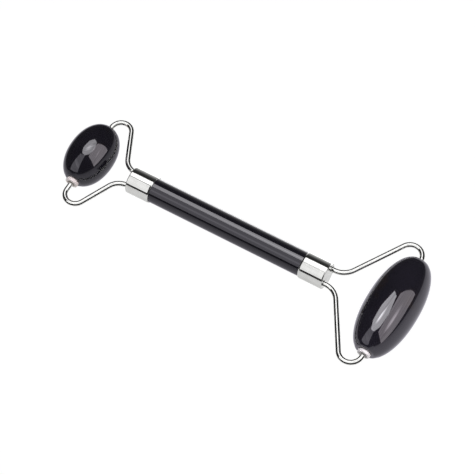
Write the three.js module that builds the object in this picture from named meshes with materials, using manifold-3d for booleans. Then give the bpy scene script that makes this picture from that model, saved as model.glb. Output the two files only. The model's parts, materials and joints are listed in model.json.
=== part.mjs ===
// A two-ended face roller: a round stone rod with a chromed ferrule on each end, and in each
// ferrule a wire fork that holds a barrel-shaped stone roller, a large one and a small one.
// Millimetres. +X runs along the handle to the large end, the rollers' axles lie along Y, +Z is up.
// The roller lies on its two stones, with the middle of its footprint at the origin.

import * as THREE from "three";
import { mergeVertices } from "three/addons/utils/BufferGeometryUtils.js";
import Module from "manifold-3d";

const wasm = await Module();
wasm.setup();

// Fits.
const GAP = 0.05; // left between two pieces that are glued or pushed together
const RUNNING_GAP = 0.09; // radial room of a wire axle in its bush

// Roundness.
const STONE_SIDES = 48;
const TURNED_SIDES = 40;
const PIN_SIDES = 24;

// The stone rod of the handle.
const ROD_RADIUS = 4.65;
const ROD_SHOWING = 62.9; // between the two ferrules
const ROD_IN_FERRULE = 4.3; // of each rod end
const ROD_CHAMFER = 0.4;

// The ferrules: thin cups, closed at the end that the fork's wires leave.
const FERRULE_RADIUS = 5.1;
const FERRULE_LENGTH = 9.65;
const FERRULE_END_WALL = 0.8;
const FERRULE_BORE = ROD_RADIUS + GAP;
const FERRULE_EDGE = 0.25; // the edge's chamfer

// The core in each ferrule, with a stud glued into it and into the rod.
const CORE_LENGTH = FERRULE_LENGTH - FERRULE_END_WALL - ROD_IN_FERRULE - 2 * GAP;
const STUD_RADIUS = 1.5;
const STUD_IN_CORE = 2.8;
const STUD_IN_ROD = 11;
const STUD_GLUE_GAP = 0.2; // around the stud in the rod, and at its tip
const STUD_GROOVES = 5;
const GROOVE_DEPTH = 0.2;

// The wire of the forks.
const WIRE_RADIUS = 1;
const WIRE_IN_CORE = 3.9;
const WIRE_STEPS = 64; // sections along each arm

// The bushes: a sleeve in the stone's hole, with a collar that stands on the stone's end.
const BUSH_BORE = WIRE_RADIUS + RUNNING_GAP;
const BUSH_RADIUS = 1.8;
const SLEEVE_LENGTH = 6;
const COLLAR_RADIUS = 2.45;
const COLLAR_EDGE = 0.15; // the chamfer of the collar's rim
const COUNTERSINK = 0.35; // of the bore's mouth
const STONE_BORE = BUSH_RADIUS + GAP;

// The two heads. straight is the wire's run out of the ferrule before its first bend. reach is
// how far the wire's middle goes out from the handle's axis, and axle is how far the roller's axis
// lies from the middle of the handle. tip is how far each axle end stops short of the middle.
// The left bushes are pushed almost flush into the stones, and the right ones stand out more.
// A stone's outline would close at pole, if its ends weren't cut flat, and slide is how far the
// roller has slipped along its axle.
const LARGE_HEAD = {
  wireOffset: 3.2,
  straight: 4.9,
  bendRadius: 7.2,
  axle: 66.8,
  elbowRadius: 4.35,
  reach: 25.87,
  tip: 15.2,
  collarHeight: { left: 0.3, right: 1.2 },
  stone: { radius: 9.67, halfLength: 20, pole: 21.3, fullness: 2.19, slide: 0.5 },
};
const SMALL_HEAD = {
  wireOffset: 3,
  straight: 4.25,
  bendRadius: 6.3,
  axle: 59.9,
  elbowRadius: 4.05,
  reach: 19.3,
  tip: 8.2,
  collarHeight: { left: 0.3, right: 1.4 },
  stone: { radius: 8.78, halfLength: 12.4, pole: 13.15, fullness: 2.11, slide: -1.5 },
};
const BARREL_STEPS = 26;
const STONE_EDGE = 0.25; // the end edge's chamfer

const FACE = ROD_SHOWING / 2 + FERRULE_LENGTH; // the ferrule's end face, from the middle

const LOOKS = {
  blackStone: { color: 0x0c0b0f, roughness: 0.06, metalness: 0 },
  chrome: { color: 0xd9dbde, roughness: 0.1, metalness: 1 },
  brass: { color: 0xb59a58, roughness: 0.35, metalness: 1 },
  steel: { color: 0x9a9da0, roughness: 0.4, metalness: 1 },
  nylon: { color: 0xefece4, roughness: 0.5, metalness: 0 },
};

function mesh(name, geometry, look) {
  const made = new THREE.Mesh(geometry, new THREE.MeshStandardMaterial(LOOKS[look]));
  made.name = name;
  return made;
}

// A turned piece about Y from [radius, height] points, with the outside running upwards.
function turned(points, sides) {
  const profile = points.map(([radius, height]) => new THREE.Vector2(radius, height));
  return new THREE.LatheGeometry(profile, sides);
}

// The same, about X: heights become distances along the handle.
function turnedAlongX(points, sides) {
  return turned(points, sides).rotateZ(-Math.PI / 2);
}

function solid(geometry) {
  const bare = new THREE.BufferGeometry();
  bare.setAttribute("position", geometry.getAttribute("position"));
  bare.setIndex(geometry.index);
  const merged = mergeVertices(bare, 1e-4);
  return new wasm.Manifold(
    new wasm.Mesh({
      numProp: 3,
      vertProperties: merged.getAttribute("position").array,
      triVerts: new Uint32Array(merged.index.array),
    }),
  );
}

function geometryOf(manifold) {
  const { vertProperties, triVerts } = manifold.getMesh();
  const geometry = new THREE.BufferGeometry();
  geometry.setAttribute("position", new THREE.BufferAttribute(vertProperties, 3));
  geometry.setIndex(new THREE.BufferAttribute(triVerts, 1));
  geometry.computeVertexNormals();
  return geometry;
}

// Two holes along X from one place to another, at the wires' places.
function drilledForWires(geometry, wireOffset, from, to) {
  const radius = WIRE_RADIUS + GAP;
  return geometryOf(
    [-wireOffset, wireOffset].reduce((piece, y) => {
      const drill = turnedAlongX([[0, from], [radius, from], [radius, to], [0, to]], PIN_SIDES);
      return piece.subtract(solid(drill.translate(0, y, 0)));
    }, solid(geometry)),
  );
}

function handleRod() {
  const half = ROD_SHOWING / 2 + ROD_IN_FERRULE;
  const hole = STUD_RADIUS + STUD_GLUE_GAP;
  const bottom = half - STUD_IN_ROD - STUD_GLUE_GAP;
  const end = [
    [ROD_RADIUS, half - ROD_CHAMFER],
    [ROD_RADIUS - ROD_CHAMFER, half],
    [hole, half],
    [hole, bottom],
    [0, bottom],
  ];
  const otherEnd = end.map(([radius, place]) => [radius, -place]).reverse();
  return mesh("handle_rod", turnedAlongX([...otherEnd, ...end], TURNED_SIDES), "blackStone");
}

function ferrule(name, head) {
  const mouth = FACE - FERRULE_LENGTH;
  const inside = FACE - FERRULE_END_WALL;
  const cup = turnedAlongX(
    [
      [0, inside],
      [FERRULE_BORE, inside],
      [FERRULE_BORE, mouth],
      [FERRULE_RADIUS - FERRULE_EDGE, mouth],
      [FERRULE_RADIUS, mouth + FERRULE_EDGE],
      [FERRULE_RADIUS, FACE - FERRULE_EDGE],
      [FERRULE_RADIUS - FERRULE_EDGE, FACE],
      [0, FACE],
    ],
    TURNED_SIDES,
  );
  const holes = drilledForWires(cup, head.wireOffset, inside - 1, FACE + 1);
  return mesh(name, holes, "chrome");
}

function core(name, head) {
  const outer = FACE - FERRULE_END_WALL - GAP;
  const inner = outer - CORE_LENGTH;
  const hole = STUD_RADIUS + GAP;
  const holeBottom = inner + STUD_IN_CORE + GAP;
  const plug = turnedAlongX(
    [
      [0, holeBottom],
      [hole, holeBottom],
      [hole, inner],
      [ROD_RADIUS - GAP, inner],
      [ROD_RADIUS - GAP, outer],
      [0, outer],
    ],
    TURNED_SIDES,
  );
  const holes = drilledForWires(plug, head.wireOffset, FACE - FERRULE_END_WALL - WIRE_IN_CORE - GAP, FACE);
  return mesh(name, holes, "brass");
}

// The stud has a few glue grooves in the end that the rod holds.
function stud(name) {
  const inner = FACE - FERRULE_END_WALL - GAP - CORE_LENGTH;
  const start = inner - STUD_IN_ROD;
  const end = inner + STUD_IN_CORE;
  const pitch = STUD_IN_ROD / (STUD_GROOVES + 1);
  const profile = [[0, start], [STUD_RADIUS, start]];
  for (let groove = 1; groove <= STUD_GROOVES; groove += 1) {
    const middle = start + groove * pitch;
    profile.push([STUD_RADIUS, middle - GROOVE_DEPTH]);
    profile.push([STUD_RADIUS - GROOVE_DEPTH, middle]);
    profile.push([STUD_RADIUS, middle + GROOVE_DEPTH]);
  }
  profile.push([STUD_RADIUS, end], [0, end]);
  return mesh(name, turnedAlongX(profile, PIN_SIDES), "steel");
}

// A flat path as a curve in space, on one side of the handle's axis.
class ArmCurve extends THREE.Curve {
  constructor(path, side) {
    super();
    this.path = path;
    this.side = side;
  }

  getPoint(t, target = new THREE.Vector3()) {
    const point = this.path.getPoint(t);
    return target.set(point.x, this.side * point.y, 0);
  }
}

// The wire's middle line: out of the core, round the first bend, straight until it meets the
// elbow's circle, round the elbow, and back inwards along the roller's axis.
function armPath(head) {
  const bend = new THREE.Vector2(FACE + head.straight, head.wireOffset);
  const elbow = new THREE.Vector2(head.axle - head.elbowRadius, head.reach - head.elbowRadius);
  const across = elbow.clone().sub(bend);
  const slope = across.angle() + Math.asin(head.elbowRadius / across.length());
  const bendStart = bend.x - head.bendRadius * Math.tan(slope / 2);
  const quarter = Math.PI / 2;
  const path = new THREE.Path();
  path.moveTo(FACE - FERRULE_END_WALL - WIRE_IN_CORE, head.wireOffset);
  path.lineTo(bendStart, head.wireOffset);
  path.absarc(bendStart, head.wireOffset + head.bendRadius, head.bendRadius, -quarter, slope - quarter, false);
  path.absarc(elbow.x, elbow.y, head.elbowRadius, slope + quarter, 0, true);
  path.lineTo(head.axle, head.tip);
  return path;
}

function forkArm(name, head, side) {
  const section = new THREE.Shape().absarc(0, 0, WIRE_RADIUS, 0, 2 * Math.PI, false);
  const wire = new THREE.ExtrudeGeometry(section, {
    steps: WIRE_STEPS,
    curveSegments: 8,
    extrudePath: new ArmCurve(armPath(head), side),
  });
  return mesh(name, wire, "chrome");
}

// A barrel whose outline is a rounded one: fullness 2 would be an ellipse, more is squarer.
function rollerStone(name, { radius, halfLength, pole, fullness }) {
  const radiusAt = (height) => radius * (1 - Math.abs(height / pole) ** fullness) ** (1 / fullness);
  const outside = [];
  for (let step = 0; step <= BARREL_STEPS; step += 1) {
    const along = (2 * step) / BARREL_STEPS - 1;
    const height = (halfLength - STONE_EDGE) * Math.sin((along * Math.PI) / 2);
    outside.push([radiusAt(height), height]);
  }
  const rim = radiusAt(halfLength) - STONE_EDGE;
  const bore = [[STONE_BORE, halfLength], [STONE_BORE, -halfLength]];
  const profile = [[rim, -halfLength], ...outside, [rim, halfLength], ...bore, [rim, -halfLength]];
  return mesh(name, turned(profile, STONE_SIDES), "blackStone");
}

// A bush at the stone's +Y end. The other end's is turned round.
function bush(name, { stone, collarHeight }, hand, side) {
  const seat = stone.halfLength + GAP;
  const top = seat + collarHeight[hand];
  const sleeve = turned(
    [
      [BUSH_BORE, seat - SLEEVE_LENGTH],
      [BUSH_RADIUS, seat - SLEEVE_LENGTH],
      [BUSH_RADIUS, seat],
      [COLLAR_RADIUS, seat],
      [COLLAR_RADIUS, top - COLLAR_EDGE],
      [COLLAR_RADIUS - COLLAR_EDGE, top],
      [BUSH_BORE + COUNTERSINK, top],
      [BUSH_BORE, top - COUNTERSINK],
      [BUSH_BORE, seat - SLEEVE_LENGTH],
    ],
    PIN_SIDES,
  );
  const made = mesh(name, sleeve, "nylon");
  made.rotation.z = side > 0 ? 0 : Math.PI;
  return made;
}

// One end of the roller, built on the +X side. turn is 0, or half a turn for the other end, and
// leftSide is the side of this head that is the whole object's left, at +Y.
function headAssembly(size, head, turn, leftSide) {
  const group = new THREE.Group();
  group.add(ferrule(`${size}_end_ferrule`, head));
  group.add(core(`${size}_end_core`, head));
  group.add(stud(`${size}_end_stud`));
  const wheel = new THREE.Group();
  wheel.position.set(head.axle, head.stone.slide, 0);
  wheel.add(rollerStone(`${size}_roller_stone`, head.stone));
  for (const [hand, side] of [["left", leftSide], ["right", -leftSide]]) {
    group.add(forkArm(`${size}_fork_arm_${hand}`, head, side));
    wheel.add(bush(`${size}_roller_bush_${hand}`, head, hand, side));
  }
  group.add(wheel);
  group.rotation.z = turn;
  return group;
}

// The handle leans a little, because the large stone holds its end higher than the small one does.
const lean = Math.asin(
  (LARGE_HEAD.stone.radius - SMALL_HEAD.stone.radius) / (LARGE_HEAD.axle + SMALL_HEAD.axle),
);
const object = new THREE.Group();
object.add(handleRod());
object.add(headAssembly("large", LARGE_HEAD, 0, 1));
object.add(headAssembly("small", SMALL_HEAD, Math.PI, -1));
object.rotation.y = -lean;

const box = new THREE.Box3().setFromObject(object, true);
const middle = box.getCenter(new THREE.Vector3());
object.position.set(-middle.x, -middle.y, -box.min.z);

const faceRoller = new THREE.Group();
faceRoller.add(object);

export default faceRoller;
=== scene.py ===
"""Looks of a two-ended face roller: black stone, chromed ferrules and wire forks, nylon bushes.

The pieces' lengths are in millimetres, and become metres in finished_mesh. The studio's are in
metres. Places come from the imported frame: the grip mount gives the handle's own frame, and each
roller's joint gives the frame of that roller.
"""

import json
import math

import bmesh
import bpy
from mathutils import Matrix, Vector


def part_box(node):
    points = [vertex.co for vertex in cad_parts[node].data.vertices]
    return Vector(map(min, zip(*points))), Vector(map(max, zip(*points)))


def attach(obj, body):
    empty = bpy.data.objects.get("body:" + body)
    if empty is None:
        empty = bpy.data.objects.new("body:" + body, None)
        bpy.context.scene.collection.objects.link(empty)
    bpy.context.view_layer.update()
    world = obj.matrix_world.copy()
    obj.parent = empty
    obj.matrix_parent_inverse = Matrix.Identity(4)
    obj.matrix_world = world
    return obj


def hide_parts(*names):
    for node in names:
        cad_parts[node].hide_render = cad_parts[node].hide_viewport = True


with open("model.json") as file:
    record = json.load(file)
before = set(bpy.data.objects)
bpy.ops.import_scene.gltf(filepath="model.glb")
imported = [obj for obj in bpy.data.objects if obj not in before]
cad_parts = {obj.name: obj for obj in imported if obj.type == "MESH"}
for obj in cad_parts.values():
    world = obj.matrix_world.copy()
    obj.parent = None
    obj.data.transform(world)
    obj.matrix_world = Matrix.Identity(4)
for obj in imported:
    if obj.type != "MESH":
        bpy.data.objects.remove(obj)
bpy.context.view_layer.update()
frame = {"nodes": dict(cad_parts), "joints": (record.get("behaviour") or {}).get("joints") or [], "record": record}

MM = 0.001
QUARTER = math.pi / 2

# The handle's rod. Bores are radii, here and below.
ROD_RADIUS = 4.65
ROD_SHOWING = 62.9
ROD_IN_FERRULE = 4.3
ROD_END_ROUNDING = 0.4
ROD_BORE = 1.7
ROD_BORE_DEPTH = 11.2

# The ferrules. The lip draws the mouth in by LIP_DEPTH over LIP_LENGTH. FACE is how far the end
# faces are from the handle's middle.
FERRULE_RADIUS = 5.1
FERRULE_LENGTH = 9.65
FERRULE_BORE = 4.7
FERRULE_END_WALL = 0.8
FERRULE_EDGE_ROUNDING = 0.42
LIP_DEPTH = 0.16
LIP_LENGTH = 0.5
FACE = ROD_SHOWING / 2 + FERRULE_LENGTH

# The forks' wire, and the holes drilled for it in the ferrules.
WIRE_RADIUS = 1
WIRE_IN_CORE = 3.9
WIRE_TIP_ROUNDING = 0.25
WIRE_HOLE = 1.2
COUNTERSINK = 0.15
COUNTERSINK_START = 0.05
DRILL_OVERSHOOT = 0.5

# The bushes and the stones' bores.
BUSH_BORE = 1.09
BUSH_RADIUS = 1.8
SLEEVE_LENGTH = 6
COLLAR_RADIUS = 2.45
RECESS_DEPTH = 0.55
RECESS_TAPER = 0.12
STONE_BORE = 1.85
BORE_MOUTH_ROUNDING = 0.15
GLUE_GAP = 0.05

# Each head. along is +1 at the handle's +X end. The straight is from the ferrule's face to the
# bend's corner, and the axle is that far from the handle's middle. reach and tip are how far from
# the handle's line the wire goes out and then ends. The stone's outline would close at the pole if
# its ends weren't flat.
HEADS = {
    "large": {
        "along": 1,
        "wire_offset": 3.2,
        "straight": 4.9,
        "bend_radius": 7.2,
        "axle": 66.8,
        "elbow_radius": 4.35,
        "reach": 25.87,
        "tip": 15.2,
        "collar_height": {"left": 0.3, "right": 1.2},
        "recess_radius": 1.75,
        "pole": 21.3,
        "fullness": 2.19,
        "end_rounding": 1.5,
    },
    "small": {
        "along": -1,
        "wire_offset": 3,
        "straight": 4.25,
        "bend_radius": 6.3,
        "axle": 59.9,
        "elbow_radius": 4.05,
        "reach": 19.3,
        "tip": 8.2,
        "collar_height": {"left": 0.3, "right": 1.4},
        "recess_radius": 1.5,
        "pole": 13.15,
        "fullness": 2.11,
        "end_rounding": 1.0,
    },
}

# Roundness of the meshes.
STONE_SIDES = 128
STONE_RINGS = 56
TURNED_SIDES = 96
BUSH_SIDES = 64
WIRE_SIDES = 32
WIRE_STEP = 0.6
ARC_STEP = math.radians(3)
CORNER_STEPS = 7
SMOOTH_BELOW = math.radians(35)

# A smaller radius than this is on the axis, and vertices closer than this become one.
ON_AXIS = 1e-6
SAME_PLACE = 1e-4

# The camera. It turns by CAMERA_TURN, in degrees, from looking straight down.
CAMERA_PLACE = (0.19447, -0.26967, 0.60855)
CAMERA_TURN = (28.7245, 2.7609, 30.8117)
SENSOR_WIDTH = 36
FOCAL_LENGTH = 144.5


def handle_frame():
    """Where the handle's own frame lies: its middle, with X along the rod to the large end."""
    grip = frame["record"]["mounts"][0]
    along = Vector(grip["axis"]).normalized()
    across = Vector((0, 1, 0))
    placed = Matrix((along, across, along.cross(across))).transposed().to_4x4()
    placed.translation = grip["pos_m"]
    return placed


def roller_frame(size):
    """Where a roller's own frame lies: the middle of its stone, with Z along the axle."""
    joint = next(j for j in frame["joints"] if j["child"] == f"{size}_roller")
    axle = Vector(joint["axis"]).normalized()
    placed = axle.to_track_quat("Z", "X").to_matrix().to_4x4()
    placed.translation = joint["pos_m"]
    return placed


HANDLE = handle_frame()


# Mesh building. Every outline is a list of (radius, height) in millimetres, with corners that may
# carry a third number: the radius of the rounding there.


def rounded(outline):
    """The outline with each corner that has a rounding replaced by an arc of that radius."""
    made = []
    for i, corner in enumerate(outline):
        here = Vector(corner[:2])
        if len(corner) < 3:
            made.append(here)
            continue
        rounding = corner[2]
        back = (Vector(outline[i - 1][:2]) - here).normalized()
        on = (Vector(outline[(i + 1) % len(outline)][:2]) - here).normalized()
        half = back.angle(on) / 2
        middle = here + (back + on).normalized() * rounding / math.sin(half)
        start = here + back * rounding / math.tan(half) - middle
        end = here + on * rounding / math.tan(half) - middle
        sweep = start.angle(end)
        for step in range(CORNER_STEPS + 1):
            share = step / CORNER_STEPS
            mixed = math.sin((1 - share) * sweep) * start + math.sin(share * sweep) * end
            made.append(middle + mixed / math.sin(sweep))
    return made


def finished_mesh(name, bm, placed):
    """An object of this bmesh, in metres in the row frame."""
    bmesh.ops.remove_doubles(bm, verts=bm.verts, dist=SAME_PLACE)
    bmesh.ops.recalc_face_normals(bm, faces=bm.faces)
    mesh = bpy.data.meshes.new(name)
    bm.to_mesh(mesh)
    bm.free()
    mesh.transform(placed @ Matrix.Scale(MM, 4))
    piece = bpy.data.objects.new(name, mesh)
    bpy.context.scene.collection.objects.link(piece)
    smooth(piece)
    return piece


def smooth(piece):
    """Smooth shading where the faces nearly line up, with large flat faces kept flat."""
    piece.data.shade_smooth()
    piece.data.set_sharp_from_angle(angle=SMOOTH_BELOW)
    piece.modifiers.new("even_normals", "WEIGHTED_NORMAL").keep_sharp = True


def turned(name, outline, placed, sides):
    """A turned piece about Z. The outline is closed, or starts and ends on the axis."""
    bm = bmesh.new()
    angles = [2 * math.pi * side / sides for side in range(sides)]
    rings = []
    for radius, height in outline:
        if radius < ON_AXIS:
            rings.append([bm.verts.new((0, 0, height))] * sides)
            continue
        places = [(radius * math.cos(a), radius * math.sin(a), height) for a in angles]
        rings.append([bm.verts.new(place) for place in places])
    for i, ring in enumerate(rings):
        following = rings[(i + 1) % len(rings)]
        if outline[i][0] < ON_AXIS and outline[(i + 1) % len(rings)][0] < ON_AXIS:
            continue
        for side in range(sides):
            nxt = (side + 1) % sides
            corners = [ring[side], ring[nxt], following[nxt], following[side]]
            bm.faces.new(list(dict.fromkeys(corners)))
    return finished_mesh(name, bm, placed)


def cut(piece, cutter):
    """Takes the cutter out of the piece, and removes the cutter."""
    piece.modifiers.clear()
    modifier = piece.modifiers.new("cut", "BOOLEAN")
    modifier.operation = "DIFFERENCE"
    modifier.solver = "EXACT"
    modifier.object = cutter
    graph = bpy.context.evaluated_depsgraph_get()
    mesh = bpy.data.meshes.new_from_object(piece.evaluated_get(graph))
    piece.modifiers.clear()
    piece.data = mesh
    bpy.data.objects.remove(cutter)
    smooth(piece)


def stone_outline(radius, half_length, pole, fullness, rounding):
    """A barrel's outline, an ellipse that fullness makes squarer, with flat ends and a bore."""
    last = half_length - rounding

    def radius_at(height):
        return radius * (1 - abs(height / pole) ** fullness) ** (1 / fullness)

    steps = [2 * i / STONE_RINGS - 1 for i in range(STONE_RINGS + 1)]
    heights = [last * math.sin(QUARTER * step) for step in steps]
    side = [(radius_at(height), height) for height in heights]
    rim = radius_at(half_length)
    return rounded(
        [
            (STONE_BORE, -half_length, BORE_MOUTH_ROUNDING),
            (rim, -half_length, rounding),
            *side,
            (rim, half_length, rounding),
            (STONE_BORE, half_length, BORE_MOUTH_ROUNDING),
        ]
    )


def roller_stone(size):
    """A polished barrel, as thick and as long as its CAD node."""
    head = HEADS[size]
    node = f"{size}_roller_stone"
    low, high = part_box(node)
    outline = stone_outline(
        (high.z - low.z) / 2 / MM,
        (high.y - low.y) / 2 / MM,
        head["pole"],
        head["fullness"],
        head["end_rounding"],
    )
    return turned(f"polished_{node}", outline, roller_frame(size), STONE_SIDES)


def handle_rod():
    """A round rod, drilled at both ends for the studs."""
    half = ROD_SHOWING / 2 + ROD_IN_FERRULE
    end = [
        (ROD_RADIUS, half, ROD_END_ROUNDING),
        (ROD_BORE, half, BORE_MOUTH_ROUNDING),
        (ROD_BORE, half - ROD_BORE_DEPTH),
        (0, half - ROD_BORE_DEPTH),
    ]
    other = [(corner[0], -corner[1], *corner[2:]) for corner in reversed(end)]
    placed = HANDLE @ Matrix.Rotation(QUARTER, 4, "Y")
    return turned("polished_handle_rod", rounded(other + end), placed, TURNED_SIDES)


def ferrule(size):
    """A drawn cup with a soft lip at its mouth, drilled for the two wires."""
    head = HEADS[size]
    mouth = FACE - FERRULE_LENGTH
    inside = FACE - FERRULE_END_WALL
    placed = HANDLE @ Matrix.Rotation(head["along"] * QUARTER, 4, "Y")
    outline = rounded(
        [
            (0, inside),
            (FERRULE_BORE, inside),
            (FERRULE_BORE, mouth, 0.06),
            (FERRULE_RADIUS - LIP_DEPTH, mouth, 0.12),
            (FERRULE_RADIUS, mouth + LIP_LENGTH, 0.5),
            (FERRULE_RADIUS, FACE, FERRULE_EDGE_ROUNDING),
            (0, FACE),
        ]
    )
    cup = turned(f"chromed_{size}_end_ferrule", outline, placed, TURNED_SIDES)
    for side in (-1, 1):
        offset = Matrix.Translation(Vector((0, side * head["wire_offset"] * MM, 0)))
        cut(cup, wire_drill(inside, placed @ offset))
    return cup


def wire_drill(inside, placed):
    """What is drilled out of a ferrule's end wall for one wire, with a small countersink."""
    outline = [
        (0, inside - DRILL_OVERSHOOT),
        (WIRE_HOLE, inside - DRILL_OVERSHOOT),
        (WIRE_HOLE, FACE - COUNTERSINK_START),
        (WIRE_HOLE + COUNTERSINK, FACE + COUNTERSINK),
        (0, FACE + COUNTERSINK),
    ]
    return turned("drill", outline, placed, BUSH_SIDES)


def arm_path(head):
    """The wire's middle line in the handle's plane: out of the core, round the bend, straight until
    it meets the elbow's circle, round the elbow, and back inwards along the roller's axle."""
    bend = Vector((FACE + head["straight"], head["wire_offset"]))
    elbow = Vector((head["axle"] - head["elbow_radius"], head["reach"] - head["elbow_radius"]))
    across = elbow - bend
    slope = math.atan2(across.y, across.x) + math.asin(head["elbow_radius"] / across.length)
    bend_start = bend.x - head["bend_radius"] * math.tan(slope / 2)
    start = Vector((FACE - FERRULE_END_WALL - WIRE_IN_CORE, head["wire_offset"]))
    bend_centre = Vector((bend_start, head["wire_offset"] + head["bend_radius"]))
    points = [start]
    points += arc(bend_centre, head["bend_radius"], -QUARTER, slope - QUARTER)
    points += arc(elbow, head["elbow_radius"], slope + QUARTER, 0)
    points.append(Vector((head["axle"], head["tip"])))
    return divided(points)


def arc(centre, radius, start, end):
    """Points on a circle, from one angle to another."""
    steps = max(2, round(abs(end - start) / ARC_STEP))
    angles = [start + (end - start) * i / steps for i in range(steps + 1)]
    return [centre + radius * Vector((math.cos(a), math.sin(a))) for a in angles]


def divided(points):
    """The same path with no step longer than WIRE_STEP."""
    made = [points[0]]
    for point in points[1:]:
        last = made[-1]
        steps = max(1, math.ceil((point - last).length / WIRE_STEP))
        made += [last.lerp(point, i / steps) for i in range(1, steps + 1)]
    return made


def fork_arm(size, hand):
    """A round wire along its path, with rounded tips. The small head is turned half round, so its
    left arm lies on its own frame's right."""
    head = HEADS[size]
    side = head["along"] * (1 if hand == "left" else -1)
    points = [Vector((p.x, side * p.y, 0)) for p in arm_path(head)]
    turn = Matrix.Rotation(0 if head["along"] > 0 else math.pi, 4, "Z")
    return wire(f"chromed_{size}_fork_arm_{hand}", points, HANDLE @ turn)


def wire(name, points, placed):
    """A round wire along a flat path, drawn in a little at its two tips."""
    before = [points[0], *points[:-1]]
    after = [*points[1:], points[-1]]
    ways = [(end - start).normalized() for start, end in zip(before, after)]
    narrow = WIRE_RADIUS - WIRE_TIP_ROUNDING
    middles = list(points)
    middles[0] = points[0] + ways[0] * WIRE_TIP_ROUNDING
    middles[-1] = points[-1] - ways[-1] * WIRE_TIP_ROUNDING
    stations = [(points[0], ways[0], narrow)]
    stations += [(middle, way, WIRE_RADIUS) for middle, way in zip(middles, ways)]
    stations.append((points[-1], ways[-1], narrow))
    bm = bmesh.new()
    up = Vector((0, 0, 1))
    angles = [2 * math.pi * i / WIRE_SIDES for i in range(WIRE_SIDES)]
    rings = []
    for middle, way, radius in stations:
        out = up.cross(way)
        spokes = [math.cos(a) * out + math.sin(a) * up for a in angles]
        rings.append([bm.verts.new(middle + radius * spoke) for spoke in spokes])
    for ring, following in zip(rings, rings[1:]):
        for i in range(WIRE_SIDES):
            nxt = (i + 1) % WIRE_SIDES
            bm.faces.new([ring[i], ring[nxt], following[nxt], following[i]])
    bm.faces.new(rings[0])
    bm.faces.new(rings[-1])
    return finished_mesh(name, bm, placed)


def bush(size, hand):
    """A moulded bush: a sleeve in the stone, and a collar with a recess round the wire."""
    head = HEADS[size]
    low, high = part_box(f"{size}_roller_stone")
    seat = (high.y - low.y) / 2 / MM + GLUE_GAP
    height = head["collar_height"][hand]
    top = seat + height
    recess = head["recess_radius"]
    outline = rounded(
        [
            (BUSH_BORE, seat - SLEEVE_LENGTH, 0.1),
            (BUSH_RADIUS, seat - SLEEVE_LENGTH, 0.2),
            (BUSH_RADIUS, seat),
            (COLLAR_RADIUS, seat, 0.08),
            (COLLAR_RADIUS, top, min(0.3, height / 2)),
            (recess, top, 0.12),
            (recess - RECESS_TAPER, top - RECESS_DEPTH, 0.1),
            (BUSH_BORE, top - RECESS_DEPTH, 0.08),
        ]
    )
    turn = Matrix.Rotation(0 if hand == "left" else math.pi, 4, "X")
    placed = roller_frame(size) @ turn
    return turned(f"moulded_{size}_roller_bush_{hand}", outline, placed, BUSH_SIDES)


# Materials. Each one is made of nodes, on object coordinates, in metres.

# Most of a noise texture's values lie between these two.
NOISE_LOW = 0.35
NOISE_HIGH = 0.65

# The Mix node's sockets for colours, which share their names with its other sockets.
MIX_SHARE = 0
MIX_FIRST = 6
MIX_SECOND = 7
MIX_COLOUR = 2


class Surface:
    """A new material and short ways to add its nodes."""

    def __init__(self, name):
        self.material = bpy.data.materials.new(name)
        self.material.use_nodes = True
        self.nodes = self.material.node_tree.nodes
        self.links = self.material.node_tree.links
        self.shader = self.nodes["Principled BSDF"]
        self.place = self.nodes.new("ShaderNodeTexCoord").outputs["Object"]

    def set(self, **values):
        """Sets sockets of the shader itself."""
        for name, value in values.items():
            self.shader.inputs[name].default_value = value

    def noise(self, scale, detail=3, roughness=0.5, stretch=(1, 1, 1), distortion=0):
        """Noise with that many features to the metre. A stretch above 1 squeezes an axis, and one
        below 1 draws it out."""
        mapping = self.nodes.new("ShaderNodeMapping")
        mapping.inputs["Scale"].default_value = stretch
        texture = self.nodes.new("ShaderNodeTexNoise")
        texture.inputs["Scale"].default_value = scale
        texture.inputs["Detail"].default_value = detail
        texture.inputs["Roughness"].default_value = roughness
        texture.inputs["Distortion"].default_value = distortion
        self.links.new(self.place, mapping.inputs["Vector"])
        self.links.new(mapping.outputs["Vector"], texture.inputs["Vector"])
        return texture.outputs["Fac"]

    def spread(self, value, low, high, start=NOISE_LOW, end=NOISE_HIGH):
        """The value's range from start to end, spread smoothly from low to high."""
        node = self.nodes.new("ShaderNodeMapRange")
        node.interpolation_type = "SMOOTHSTEP"
        node.inputs["From Min"].default_value = start
        node.inputs["From Max"].default_value = end
        node.inputs["To Min"].default_value = low
        node.inputs["To Max"].default_value = high
        self.links.new(value, node.inputs["Value"])
        return node.outputs["Result"]

    def mixed(self, share, first, second):
        """A colour between two colours or colour outputs."""
        node = self.nodes.new("ShaderNodeMix")
        node.data_type = "RGBA"
        for number, colour in ((MIX_FIRST, first), (MIX_SECOND, second)):
            if isinstance(colour, tuple):
                node.inputs[number].default_value = (*colour, 1)
            else:
                self.links.new(colour, node.inputs[number])
        self.links.new(share, node.inputs[MIX_SHARE])
        return node.outputs[MIX_COLOUR]

    def bump(self, height, strength, distance):
        """Bump on top of the bump added before."""
        node = self.nodes.new("ShaderNodeBump")
        node.inputs["Strength"].default_value = strength
        node.inputs["Distance"].default_value = distance
        self.links.new(height, node.inputs["Height"])
        normal = self.shader.inputs["Normal"]
        if normal.links:
            self.links.new(normal.links[0].from_socket, node.inputs["Normal"])
        self.links.new(node.outputs["Normal"], normal)

    def link(self, name, output):
        """Feeds one of the shader's sockets from a node."""
        self.links.new(output, self.shader.inputs[name])


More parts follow.
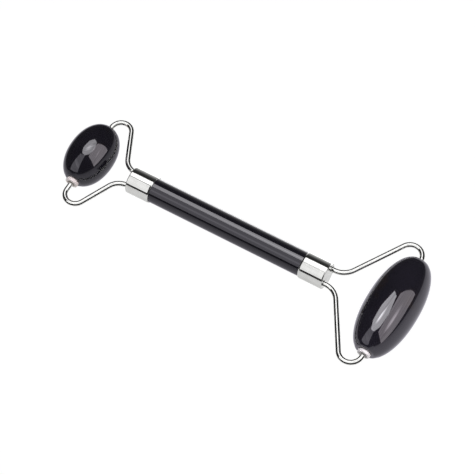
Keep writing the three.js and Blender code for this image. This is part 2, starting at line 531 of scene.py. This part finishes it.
def obsidian(name, stretch):
    """Polished black stone: faint violet and brown clouds, fine flecks, a slightly wavy polish."""
    violet_black, pale_black = (0.0065, 0.006, 0.0088), (0.0085, 0.0078, 0.0112)
    brown_black, fleck = (0.0105, 0.0075, 0.0072), (0.016, 0.015, 0.019)
    made = Surface(name)
    clouds = made.spread(made.noise(110, 5, 0.6, stretch, distortion=0.6), 0, 1)
    black = made.mixed(clouds, violet_black, pale_black)
    brown_noise = made.noise(60, 4, 0.6, stretch, distortion=1.2)
    brown = made.spread(brown_noise, 0, 1, start=0.58, end=0.78)
    flecks = made.spread(made.noise(2600, 2), 0, 1, start=0.68, end=0.8)
    toned = made.mixed(brown, black, brown_black)
    made.link("Base Color", made.mixed(flecks, toned, fleck))
    made.link("Roughness", made.spread(made.noise(500, 4, 0.6, stretch), 0.02, 0.075))
    made.set(IOR=1.62)
    made.bump(made.noise(170, 2, 0.5, stretch), strength=0.05, distance=0.0004)
    made.bump(made.noise(3200, 2, 0.5, stretch), strength=0.02, distance=0.00003)
    return made.material


def chrome(name, tint, stretch):
    """Bright plating: fine polishing marks, drawn out by the stretch, and an uneven polish."""
    made = Surface(name)
    cloud = made.spread(made.noise(300), 0, 1)
    darker = tuple(0.93 * part for part in tint)
    made.link("Base Color", made.mixed(cloud, tint, darker))
    made.link("Roughness", made.spread(made.noise(2500, 4, 0.6, stretch), 0.03, 0.1))
    made.set(Metallic=1)
    made.bump(made.noise(3500, 3, 0.6, stretch), strength=0.03, distance=0.00002)
    made.bump(made.noise(260, 1, 0.4), strength=0.015, distance=0.0002)
    return made.material


def nylon(name, light, dark):
    """Moulded nylon: slightly milky, with uneven tone, a soft gloss and a fine grain."""
    made = Surface(name)
    cloud = made.spread(made.noise(420, 4, 0.6), 0, 1)
    made.link("Base Color", made.mixed(cloud, light, dark))
    made.link("Roughness", made.spread(made.noise(1500, 3, 0.6), 0.3, 0.5))
    made.set(IOR=1.53)
    made.bump(made.noise(5000, 3, 0.6), strength=0.05, distance=0.00003)
    return made.material


def brass(name):
    """Turned brass: tool lines round the piece, and a little tarnish."""
    bright, tarnished = (0.72, 0.55, 0.26), (0.42, 0.29, 0.13)
    made = Surface(name)
    tarnish = made.spread(made.noise(350, 5, 0.6), 0, 1, start=0.4, end=0.8)
    made.link("Base Color", made.mixed(tarnish, bright, tarnished))
    made.link("Roughness", made.spread(made.noise(1200, 4, 0.6, (6, 1, 1)), 0.22, 0.42))
    made.set(Metallic=1)
    tool_lines = made.noise(900, 2, 0.5, (8, 0.3, 0.3))
    made.bump(tool_lines, strength=0.15, distance=0.00004)
    return made.material


def steel(name):
    """Cut steel rod: greyish, with fine lines and a few dull spots."""
    clean, dulled = (0.56, 0.57, 0.58), (0.33, 0.33, 0.33)
    made = Surface(name)
    dull = made.spread(made.noise(500, 5, 0.6), 0, 1, start=0.45, end=0.75)
    made.link("Base Color", made.mixed(dull, clean, dulled))
    made.link("Roughness", made.spread(made.noise(1500, 4, 0.6, (6, 1, 1)), 0.28, 0.5))
    made.set(Metallic=1)
    fine_lines = made.noise(1100, 2, 0.5, (8, 0.3, 0.3))
    made.bump(fine_lines, strength=0.15, distance=0.00003)
    return made.material


# The studio. Directions are degrees away from straight up, towards +X and towards +Y. Each part of
# the object stands in a slightly different place among the lights, and the polished stones need
# brighter ones than the chrome does, so each light shines on some of the pieces only.

STUDIO_CENTRE = Vector((0, 0, 0.01))

# How far the nearest set of lights is, and how much further each next set is, so that none touch.
NEAREST = 2.4
APART = 0.15

# The bowls stand further out than the panels by this factor, and are cut off at a rim, whose
# height is a share of their radius.
BOWLS_BEYOND = 1.5
BOWL_RIM = 0.65

# The brightness of the floor and backdrop to the camera, and of the dim room to the object.
WHITE = 1.0
DIM = 0.035

# The floor's half width, and its own grey under its glow.
FLOOR_REACH = 1.5
FLOOR_GREY = 0.2

# The soft boxes, by what they light. An octagon has its middle, half its size, and the turn of its
# corners. A glow is a brightness, how much brighter the hot streak's middle is, and half the
# streak's length and width in metres.
BOXES = {
    "large_roller": {
        "octagon": [(-7, 3), (24, 24.5), 14],
        "octagon_glow": (5.1, 10, (0.65, 0.26)),
        "side": [(12, 27), (62, 41), (66, -34), (18, -17)],
        "side_glow": (2.25, 4, (0.9, 0.4)),
        "front": [(-25, -12), (-2, -20), (3, -65), (-57, -54)],
        "front_glow": (1.25, 0.2, (1.5, 0.4)),
    },
    "small_roller_and_rod": {
        "octagon": [(-8, 15), (24, 19.5), 8],
        "octagon_glow": (3.8, 3.2, (0.7, 0.45)),
        "side": [(11, 30), (66, 42), (67, -14), (14, -2)],
        "side_glow": (2.4, 1.8, (0.6, 0.12)),
        "front": [(-27, -3), (-3, -4), (2, -66), (-57, -56)],
        "front_glow": (1.1, 0.6, (3, 0.45)),
    },
    "ferrules": {
        "octagon": [(-8, 17), (24.5, 21.5), 8],
        "octagon_glow": (1.95, 0, (1, 1)),
        "side": [(11, 30), (66, 42), (67, -24), (14, -4)],
        "side_glow": (1.5, 0, (1, 1)),
        "front": [(-27, -4), (-3, -4), (2, -67), (-57, -57)],
        "front_glow": (1.3, 0, (1, 1)),
    },
    "wires": {
        "octagon": [(-8, 17), (24.5, 21.5), 8],
        "octagon_glow": (1.7, 0, (1, 1)),
        "side": [(14, 30), (44, 36), (44, -22), (14, -4)],
        "side_glow": (1.6, 0, (1, 1)),
        "front": [(-27, -4), (14, -4), (44, -22), (20, -46), (-45, -42)],
        "front_glow": (1.5, 0, (1, 1)),
    },
}

# The bright floor around, by what it lights: its brightness at each height, and how much of X and
# of Y the height has added to it, which tilts the edge. Heights are sines above the horizon.
ROOMS = {
    "large_roller": ([(-0.3, 0.95), (-0.03, 0.7), (0.01, 0.05), (0.3, 0)], (-0.24, 0.26)),
    "small_roller": ([(-0.35, 0.65), (-0.08, 0.43), (-0.02, 0.03), (0.3, 0)], (-0.3, 0.26)),
    "rod": ([(-0.5, 0.65), (-0.15, 0.42), (-0.12, 0), (0.3, 0)], (0, 0.2)),
    "ferrules": ([(-1, 0.8), (-0.72, 0.94), (-0.17, 0.92), (-0.14, 0), (0.3, 0)], (0, 0.2)),
    "wires": ([(-0.7, 1.1), (-0.45, 0.9), (-0.3, 0), (0.3, 0)], (0.1, -0.15)),
}

# The glow that rises behind the handle. It falls with this power of the height.
BACK_PANEL = [(-42, 42), (42, 42), (88, 88), (-88, 88)]
BACK_GLOW = 3.8
BACK_FALL = 3

# The stripes of a soft box: how many to the metre, how much they are drawn out lengthwise, and how
# much brighter or darker than the cloth they are.
STRIPES = 7
STRIPE_STRETCH = 0.06
STRIPE_DEPTH = 0.22


def direction(towards_x, towards_y):
    """The unit vector of a direction, as degrees away from straight up."""
    away = math.hypot(towards_x, towards_y)
    tilt = math.radians(away)
    share = math.sin(tilt) / away
    return Vector((towards_x * share, towards_y * share, math.cos(tilt)))


def see_through_glow(name, strength, tint):
    """A material that glows that strongly, and that light from behind passes through."""
    material = bpy.data.materials.new(name)
    material.use_nodes = True
    nodes, links = material.node_tree.nodes, material.node_tree.links
    nodes.clear()
    emission = nodes.new("ShaderNodeEmission")
    emission.inputs["Color"].default_value = (*tint, 1)
    links.new(strength(nodes, links), emission.inputs["Strength"])
    both = nodes.new("ShaderNodeAddShader")
    links.new(emission.outputs["Emission"], both.inputs[0])
    links.new(nodes.new("ShaderNodeBsdfTransparent").outputs["BSDF"], both.inputs[1])
    output = nodes.new("ShaderNodeOutputMaterial")
    links.new(both.outputs["Shader"], output.inputs["Surface"])
    return material


def fading_upwards(glow):
    """Strength that falls from the panel's lower edge to nothing at its upper edge."""

    def strength(nodes, links):
        axes = nodes.new("ShaderNodeSeparateXYZ")
        links.new(nodes.new("ShaderNodeTexCoord").outputs["Generated"], axes.inputs["Vector"])
        fall = nodes.new("ShaderNodeMapRange")
        fall.inputs["To Min"].default_value = glow ** (1 / BACK_FALL)
        fall.inputs["To Max"].default_value = 0
        links.new(axes.outputs["Y"], fall.inputs["Value"])
        power = nodes.new("ShaderNodeMath")
        power.operation = "POWER"
        power.inputs[1].default_value = BACK_FALL
        links.new(fall.outputs["Result"], power.inputs[0])
        return power.outputs["Value"]

    return strength


def streaked(glow, extra, half_size):
    """Strength with a hot streak in the middle, and with faint stripes along it, as a soft box's
    cloth has."""

    def strength(nodes, links):
        place = nodes.new("ShaderNodeTexCoord").outputs["Object"]
        times = nodes.new("ShaderNodeMath")
        times.operation = "MULTIPLY"
        links.new(streak(nodes, links, place, glow, extra, half_size), times.inputs[0])
        links.new(stripes(nodes, links, place), times.inputs[1])
        return times.outputs["Value"]

    return strength


def streak(nodes, links, place, glow, extra, half_size):
    """An oval in the middle that is brighter by extra, and fades into the glow around it."""
    mapping = nodes.new("ShaderNodeMapping")
    mapping.inputs["Scale"].default_value = (1 / half_size[0], 1 / half_size[1], 0)
    links.new(place, mapping.inputs["Vector"])
    length = nodes.new("ShaderNodeVectorMath")
    length.operation = "LENGTH"
    links.new(mapping.outputs["Vector"], length.inputs[0])
    fall = nodes.new("ShaderNodeMapRange")
    fall.interpolation_type = "SMOOTHSTEP"
    fall.inputs["To Min"].default_value = glow + extra
    fall.inputs["To Max"].default_value = glow
    links.new(length.outputs["Value"], fall.inputs["Value"])
    return fall.outputs["Result"]


def stripes(nodes, links, place):
    """A factor near 1 that changes quickly across the panel and slowly along it."""
    mapping = nodes.new("ShaderNodeMapping")
    mapping.inputs["Scale"].default_value = (STRIPE_STRETCH, 1, 1)
    links.new(place, mapping.inputs["Vector"])
    noise = nodes.new("ShaderNodeTexNoise")
    noise.inputs["Scale"].default_value = STRIPES
    noise.inputs["Detail"].default_value = 2
    links.new(mapping.outputs["Vector"], noise.inputs["Vector"])
    factor = nodes.new("ShaderNodeMapRange")
    factor.inputs["From Min"].default_value = NOISE_LOW
    factor.inputs["From Max"].default_value = NOISE_HIGH
    factor.inputs["To Min"].default_value = 1 - STRIPE_DEPTH
    factor.inputs["To Max"].default_value = 1 + STRIPE_DEPTH
    links.new(noise.outputs["Fac"], factor.inputs["Value"])
    return factor.outputs["Result"]


def by_height(stops, slope):
    """Strength by height, with the horizon tilted by the slope."""
    lowest = stops[0][0]
    highest = stops[-1][0]
    brightest = max(glow for _, glow in stops)
    places = [(sine - lowest) / (highest - lowest) for sine, _ in stops]

    def strength(nodes, links):
        way = nodes.new("ShaderNodeVectorMath")
        way.operation = "NORMALIZE"
        links.new(nodes.new("ShaderNodeTexCoord").outputs["Object"], way.inputs[0])
        rise = nodes.new("ShaderNodeVectorMath")
        rise.operation = "DOT_PRODUCT"
        rise.inputs[1].default_value = (*slope, 1)
        links.new(way.outputs["Vector"], rise.inputs[0])
        share = nodes.new("ShaderNodeMapRange")
        share.inputs["From Min"].default_value = lowest
        share.inputs["From Max"].default_value = highest
        links.new(rise.outputs["Value"], share.inputs["Value"])
        ramp = nodes.new("ShaderNodeValToRGB")
        elements = ramp.color_ramp.elements
        for place in places[1:-1]:
            elements.new(place)
        for element, (_, glow) in zip(elements, stops):
            element.color = (glow / brightest,) * 3 + (1,)
        links.new(share.outputs["Result"], ramp.inputs["Fac"])
        times = nodes.new("ShaderNodeMath")
        times.operation = "MULTIPLY"
        times.inputs[1].default_value = brightest
        links.new(ramp.outputs["Color"], times.inputs[0])
        return times.outputs["Value"]

    return strength


def stage_light(name, mesh, placed, material, lit):
    """Puts a glowing mesh in the studio. It shines on the pieces of one collection only."""
    light = bpy.data.objects.new(name, mesh)
    light.matrix_world = placed
    bpy.context.scene.collection.objects.link(light)
    mesh.materials.append(material)
    light.visible_camera = False
    light.light_linking.receiver_collection = lit


def light_panel(name, corners, strength, tint, lit, away):
    """A flat panel that faces the object, with its corners in the given directions."""
    rays = [direction(*corner) for corner in corners]
    facing = sum(rays, Vector()).normalized()
    turn = facing.to_track_quat("Z", "Y").to_matrix().to_4x4()
    turn.translation = STUDIO_CENTRE + facing * away
    points = [STUDIO_CENTRE + ray * away / ray.dot(facing) for ray in rays]
    mesh = bpy.data.meshes.new(name)
    face = list(range(len(points)))
    mesh.from_pydata([turn.inverted() @ point for point in points], [], [face])
    stage_light(name, mesh, turn, see_through_glow(name, strength, tint), lit)


def octagon(middle, half, turned_by):
    """The directions of the corners of a drawn-out octagon."""
    turns = [math.radians(45 * i + turned_by) for i in range(8)]
    return [(middle[0] + half[0] * math.cos(t), middle[1] + half[1] * math.sin(t)) for t in turns]


def bowl(name, stops, slope, tint, lit, away):
    """The floor and the lower part of the room, as a large glowing bowl."""
    bm = bmesh.new()
    bmesh.ops.create_icosphere(bm, subdivisions=4, radius=away)
    high = [vert for vert in bm.verts if vert.co.z > away * BOWL_RIM]
    bmesh.ops.delete(bm, geom=high, context="VERTS")
    mesh = bpy.data.meshes.new(name)
    bm.to_mesh(mesh)
    bm.free()
    placed = Matrix.Translation(STUDIO_CENTRE)
    stage_light(name, mesh, placed, see_through_glow(name, by_height(stops, slope), tint), lit)


def studio(groups):
    """All the lights. groups has the collection of pieces that each set of lights shines on."""
    grey, pale, rosy, violet = (1, 1, 1), (1, 0.98, 1.04), (1, 0.92, 1), (0.96, 0.93, 1.04)
    away = NEAREST
    for name, box in BOXES.items():
        tints = (pale, rosy, violet) if "roller" in name else (grey, grey, grey)
        for part, tint in zip(("octagon", "side", "front"), tints):
            corners = octagon(*box[part]) if part == "octagon" else box[part]
            glow = streaked(*box[f"{part}_glow"])
            light_panel(f"{part}_on_{name}", corners, glow, tint, groups[name], away)
        away += APART
    for name, (stops, slope) in ROOMS.items():
        tint = grey if name in ("ferrules", "wires") else violet
        away += APART
        bowl(f"room_on_{name}", stops, slope, tint, groups[name], away * BOWLS_BEYOND)
    glow = fading_upwards(BACK_GLOW)
    light_panel("back_panel", BACK_PANEL, glow, grey, groups["handle"], NEAREST)


def backdrop():
    """What the camera sees behind the floor is plain white. The object sees a dim room instead."""
    world = bpy.data.worlds.new("backdrop")
    bpy.context.scene.world = world
    world.use_nodes = True
    nodes, links = world.node_tree.nodes, world.node_tree.links
    background = nodes["Background"]
    background.inputs["Color"].default_value = (WHITE, WHITE, WHITE, 1)
    seen = nodes.new("ShaderNodeMapRange")
    seen.inputs["To Min"].default_value = DIM
    links.new(nodes.new("ShaderNodeLightPath").outputs["Is Camera Ray"], seen.inputs["Value"])
    links.new(seen.outputs["Result"], background.inputs["Strength"])


def floor():
    """A plain white floor. The room's own brightness stands for it in reflections."""
    mesh = bpy.data.meshes.new("floor")
    signs = ((-1, -1), (1, -1), (1, 1), (-1, 1))
    corners = [(x * FLOOR_REACH, y * FLOOR_REACH, 0) for x, y in signs]
    mesh.from_pydata(corners, [], [(0, 1, 2, 3)])
    plane = bpy.data.objects.new("floor", mesh)
    bpy.context.scene.collection.objects.link(plane)
    material = bpy.data.materials.new("floor")
    material.use_nodes = True
    shader = material.node_tree.nodes["Principled BSDF"]
    shader.inputs["Base Color"].default_value = (FLOOR_GREY, FLOOR_GREY, FLOOR_GREY, 1)
    shader.inputs["Roughness"].default_value = 1
    shader.inputs["Emission Color"].default_value = (WHITE, WHITE, WHITE, 1)
    shader.inputs["Emission Strength"].default_value = 1
    mesh.materials.append(material)
    plane.visible_glossy = False


def camera():
    """A long lens high above, beyond the large end and to the right."""
    data = bpy.data.cameras.new("camera")
    data.sensor_width = SENSOR_WIDTH
    data.lens = FOCAL_LENGTH
    placed = bpy.data.objects.new("camera", data)
    placed.location = CAMERA_PLACE
    placed.rotation_euler = [math.radians(turn) for turn in CAMERA_TURN]
    bpy.context.scene.collection.objects.link(placed)
    bpy.context.scene.camera = placed


def light_groups():
    """A collection for each set of lights, which holds the pieces that the set shines on. The back
    panel shines on the handle."""
    names = dict.fromkeys([*BOXES, *ROOMS, "handle"])
    return {name: bpy.data.collections.new(name) for name in names}


def dress(piece, body, node, material, lit_in):
    """Gives a visual piece its material, its lights and its body, and hides the CAD node it stands for."""
    put_in_light(piece, lit_in)
    piece.data.materials.clear()
    piece.data.materials.append(material)
    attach(piece, body)
    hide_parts(node)


def put_in_light(piece, lit_in):
    """Lets the lights of these groups shine on the piece."""
    for group in lit_in:
        group.objects.link(piece)


def build(groups):
    """All the pieces. The cores and studs, which are hidden, stay CAD nodes with new materials."""
    stone = obsidian("roller_obsidian", (1, 1, 1))
    rod_stone = obsidian("handle_obsidian", (0.03, 1, 1))
    plating = chrome("ferrule_chrome", (0.62, 0.62, 0.61), (0.06, 1, 1))
    wire_plating = chrome("wire_chrome", (0.66, 0.66, 0.65), (1, 1, 1))
    bush_nylon = {
        "large": nylon("white_nylon", (0.62, 0.61, 0.59), (0.56, 0.55, 0.53)),
        "small": nylon("cream_nylon", (0.76, 0.71, 0.66), (0.7, 0.64, 0.59)),
    }
    in_rod = [groups["small_roller_and_rod"], groups["rod"], groups["handle"]]
    in_ferrules = [groups["ferrules"], groups["handle"]]
    in_wires = [groups["wires"]]
    in_rollers = {
        "large": [groups["large_roller"]],
        "small": [groups["small_roller_and_rod"], groups["small_roller"]],
    }
    dress(handle_rod(), "handle", "handle_rod", rod_stone, in_rod)
    for size, in_roller in in_rollers.items():
        node = f"{size}_end_ferrule"
        dress(ferrule(size), "handle", node, plating, in_ferrules)
        roller = f"{size}_roller"
        node = f"{roller}_stone"
        dress(roller_stone(size), roller, node, stone, in_roller)
        for hand in ("left", "right"):
            node = f"{size}_fork_arm_{hand}"
            dress(fork_arm(size, hand), "handle", node, wire_plating, in_wires)
            node = f"{roller}_bush_{hand}"
            dress(bush(size, hand), roller, node, bush_nylon[size], in_roller)
    inner = {
        "core": (brass("core_brass"), "core_brass"),
        "stud": (steel("stud_steel"), "stud_steel"),
    }
    for size in HEADS:
        for part, (material, slot) in inner.items():
            node = frame["nodes"][f"{size}_end_{part}"]
            put_in_light(node, in_ferrules)
            node.data.materials.clear()
            node.data.materials.append(material)


camera()
backdrop()
floor()
groups = light_groups()
build(groups)
studio(groups)

bpy.context.scene.view_settings.view_transform = "Standard"
